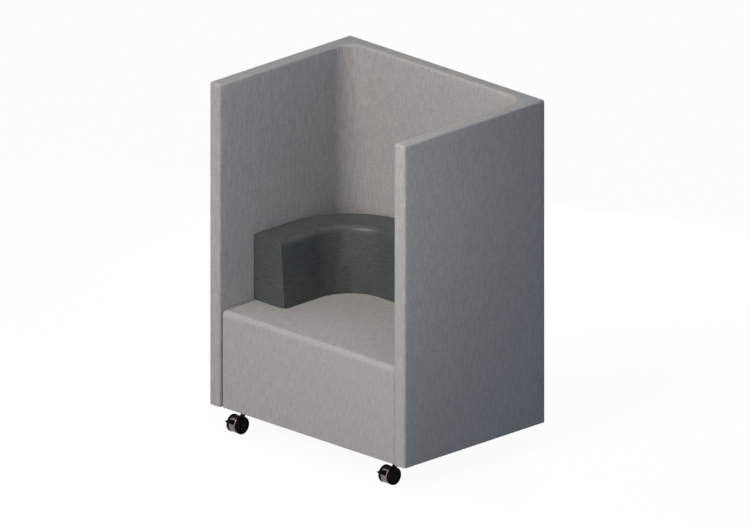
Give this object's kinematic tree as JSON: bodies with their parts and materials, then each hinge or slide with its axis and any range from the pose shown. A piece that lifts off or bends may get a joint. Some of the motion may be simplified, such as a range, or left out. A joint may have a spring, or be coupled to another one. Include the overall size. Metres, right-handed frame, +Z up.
{
  "type": "single-seat booth sofa",
  "caption": "Upholstered single-seat booth: a tall three-sided screen round a seat box with a horseshoe back cushion, standing on braked twin-wheel castors.",
  "frame": {"origin": "on the floor, under the middle of the overall box (screen back to brake lever tips)", "axes": "+Z up, +Y towards the back panel, +X towards the right panel as seen by someone facing the seat"},
  "size_m": [0.98, 0.7262, 1.3035],
  "materials": {
    "light_weave": "woven melange, matt",
    "dark_weave": "fine woven, slight sheen",
    "foam": "open-cell foam",
    "board": "raw board",
    "plywood": "raw plywood",
    "steel": "zinc plated",
    "black_cloth": "matt",
    "black_plastic": "matt",
    "chrome": "polished",
    "black_nylon": "moulded, satin"
  },
  "bodies": {
    "booth": {"screen_base_strip": "black_plastic", "panel_corner_screws": "steel", "base_bolts": "steel", "base_spacers": "steel", "core_insert_nuts": "steel", "left_panel_core": "board", "right_panel_core": "board", "back_panel_core": "board", "left_panel_foam": "foam", "right_panel_foam": "foam", "back_panel_foam": "foam", "screen_cover": "light_weave", "deck_screws": "steel", "front_rail": "plywood", "rear_rail": "plywood", "left_rail": "plywood", "right_rail": "plywood", "centre_rail": "plywood", "seat_deck": "plywood", "corner_blocks": "plywood", "seat_cover": "light_weave", "seat_foam": "foam", "front_pad": "foam", "cushion_cover": "dark_weave", "cushion_board": "plywood", "cushion_foam": "foam", "cushion_grip_strips": "black_cloth", "castor_tee_nuts": "steel", "front_castor_board": "plywood", "rear_castor_board": "plywood", "dust_cover": "black_cloth", "front_left_stem": "black_nylon", "front_right_stem": "black_nylon", "rear_left_stem": "black_nylon", "rear_right_stem": "black_nylon"},
    "front_left_hood": {"front_left_hood": "chrome", "front_left_axle": "steel", "front_left_lever_pin": "steel"},
    "front_left_wheel_a": {"front_left_wheel_a": "black_nylon"},
    "front_left_wheel_b": {"front_left_wheel_b": "black_nylon"},
    "front_left_brake_lever": {"front_left_brake_lever": "black_nylon"},
    "front_right_hood": {"front_right_hood": "chrome", "front_right_axle": "steel", "front_right_lever_pin": "steel"},
    "front_right_wheel_a": {"front_right_wheel_a": "black_nylon"},
    "front_right_wheel_b": {"front_right_wheel_b": "black_nylon"},
    "front_right_brake_lever": {"front_right_brake_lever": "black_nylon"},
    "rear_left_hood": {"rear_left_hood": "chrome", "rear_left_axle": "steel"},
    "rear_left_wheel_a": {"rear_left_wheel_a": "black_nylon"},
    "rear_left_wheel_b": {"rear_left_wheel_b": "black_nylon"},
    "rear_right_hood": {"rear_right_hood": "chrome", "rear_right_axle": "steel"},
    "rear_right_wheel_a": {"rear_right_wheel_a": "black_nylon"},
    "rear_right_wheel_b": {"rear_right_wheel_b": "black_nylon"}
  },
  "joints": [
    {"name": "front_left_swivel", "type": "hinge", "parent": "booth", "child": "front_left_hood", "pos_m": [-0.3815, -0.2851, 0.055], "axis": [0, 0, 1], "continuous": true},
    {"name": "front_left_wheel_a_spin", "type": "hinge", "parent": "front_left_hood", "child": "front_left_wheel_a", "pos_m": [-0.3815, -0.3091, 0.0325], "axis": [1, 0, 0], "continuous": true},
    {"name": "front_left_wheel_b_spin", "type": "hinge", "parent": "front_left_hood", "child": "front_left_wheel_b", "pos_m": [-0.3815, -0.3091, 0.0325], "axis": [1, 0, 0], "continuous": true},
    {"name": "front_left_brake", "type": "hinge", "parent": "front_left_hood", "child": "front_left_brake_lever", "pos_m": [-0.3815, -0.3286, 0.047], "axis": [1, 0, 0], "range_deg": [0, 14]},
    {"name": "front_right_swivel", "type": "hinge", "parent": "booth", "child": "front_right_hood", "pos_m": [0.3815, -0.2851, 0.055], "axis": [0, 0, 1], "continuous": true},
    {"name": "front_right_wheel_a_spin", "type": "hinge", "parent": "front_right_hood", "child": "front_right_wheel_a", "pos_m": [0.3815, -0.3091, 0.0325], "axis": [1, 0, 0], "continuous": true},
    {"name": "front_right_wheel_b_spin", "type": "hinge", "parent": "front_right_hood", "child": "front_right_wheel_b", "pos_m": [0.3815, -0.3091, 0.0325], "axis": [1, 0, 0], "continuous": true},
    {"name": "front_right_brake", "type": "hinge", "parent": "front_right_hood", "child": "front_right_brake_lever", "pos_m": [0.3815, -0.3286, 0.047], "axis": [1, 0, 0], "range_deg": [0, 14]},
    {"name": "rear_left_swivel", "type": "hinge", "parent": "booth", "child": "rear_left_hood", "pos_m": [-0.2697, 0.2633, 0.055], "axis": [0, 0, 1], "continuous": true},
    {"name": "rear_left_wheel_a_spin", "type": "hinge", "parent": "rear_left_hood", "child": "rear_left_wheel_a", "pos_m": [-0.2697, 0.2393, 0.0325], "axis": [1, 0, 0], "continuous": true},
    {"name": "rear_left_wheel_b_spin", "type": "hinge", "parent": "rear_left_hood", "child": "rear_left_wheel_b", "pos_m": [-0.2697, 0.2393, 0.0325], "axis": [1, 0, 0], "continuous": true},
    {"name": "rear_right_swivel", "type": "hinge", "parent": "booth", "child": "rear_right_hood", "pos_m": [0.2697, 0.2633, 0.055], "axis": [0, 0, 1], "continuous": true},
    {"name": "rear_right_wheel_a_spin", "type": "hinge", "parent": "rear_right_hood", "child": "rear_right_wheel_a", "pos_m": [0.2697, 0.2393, 0.0325], "axis": [1, 0, 0], "continuous": true},
    {"name": "rear_right_wheel_b_spin", "type": "hinge", "parent": "rear_right_hood", "child": "rear_right_wheel_b", "pos_m": [0.2697, 0.2393, 0.0325], "axis": [1, 0, 0], "continuous": true}
  ]
}
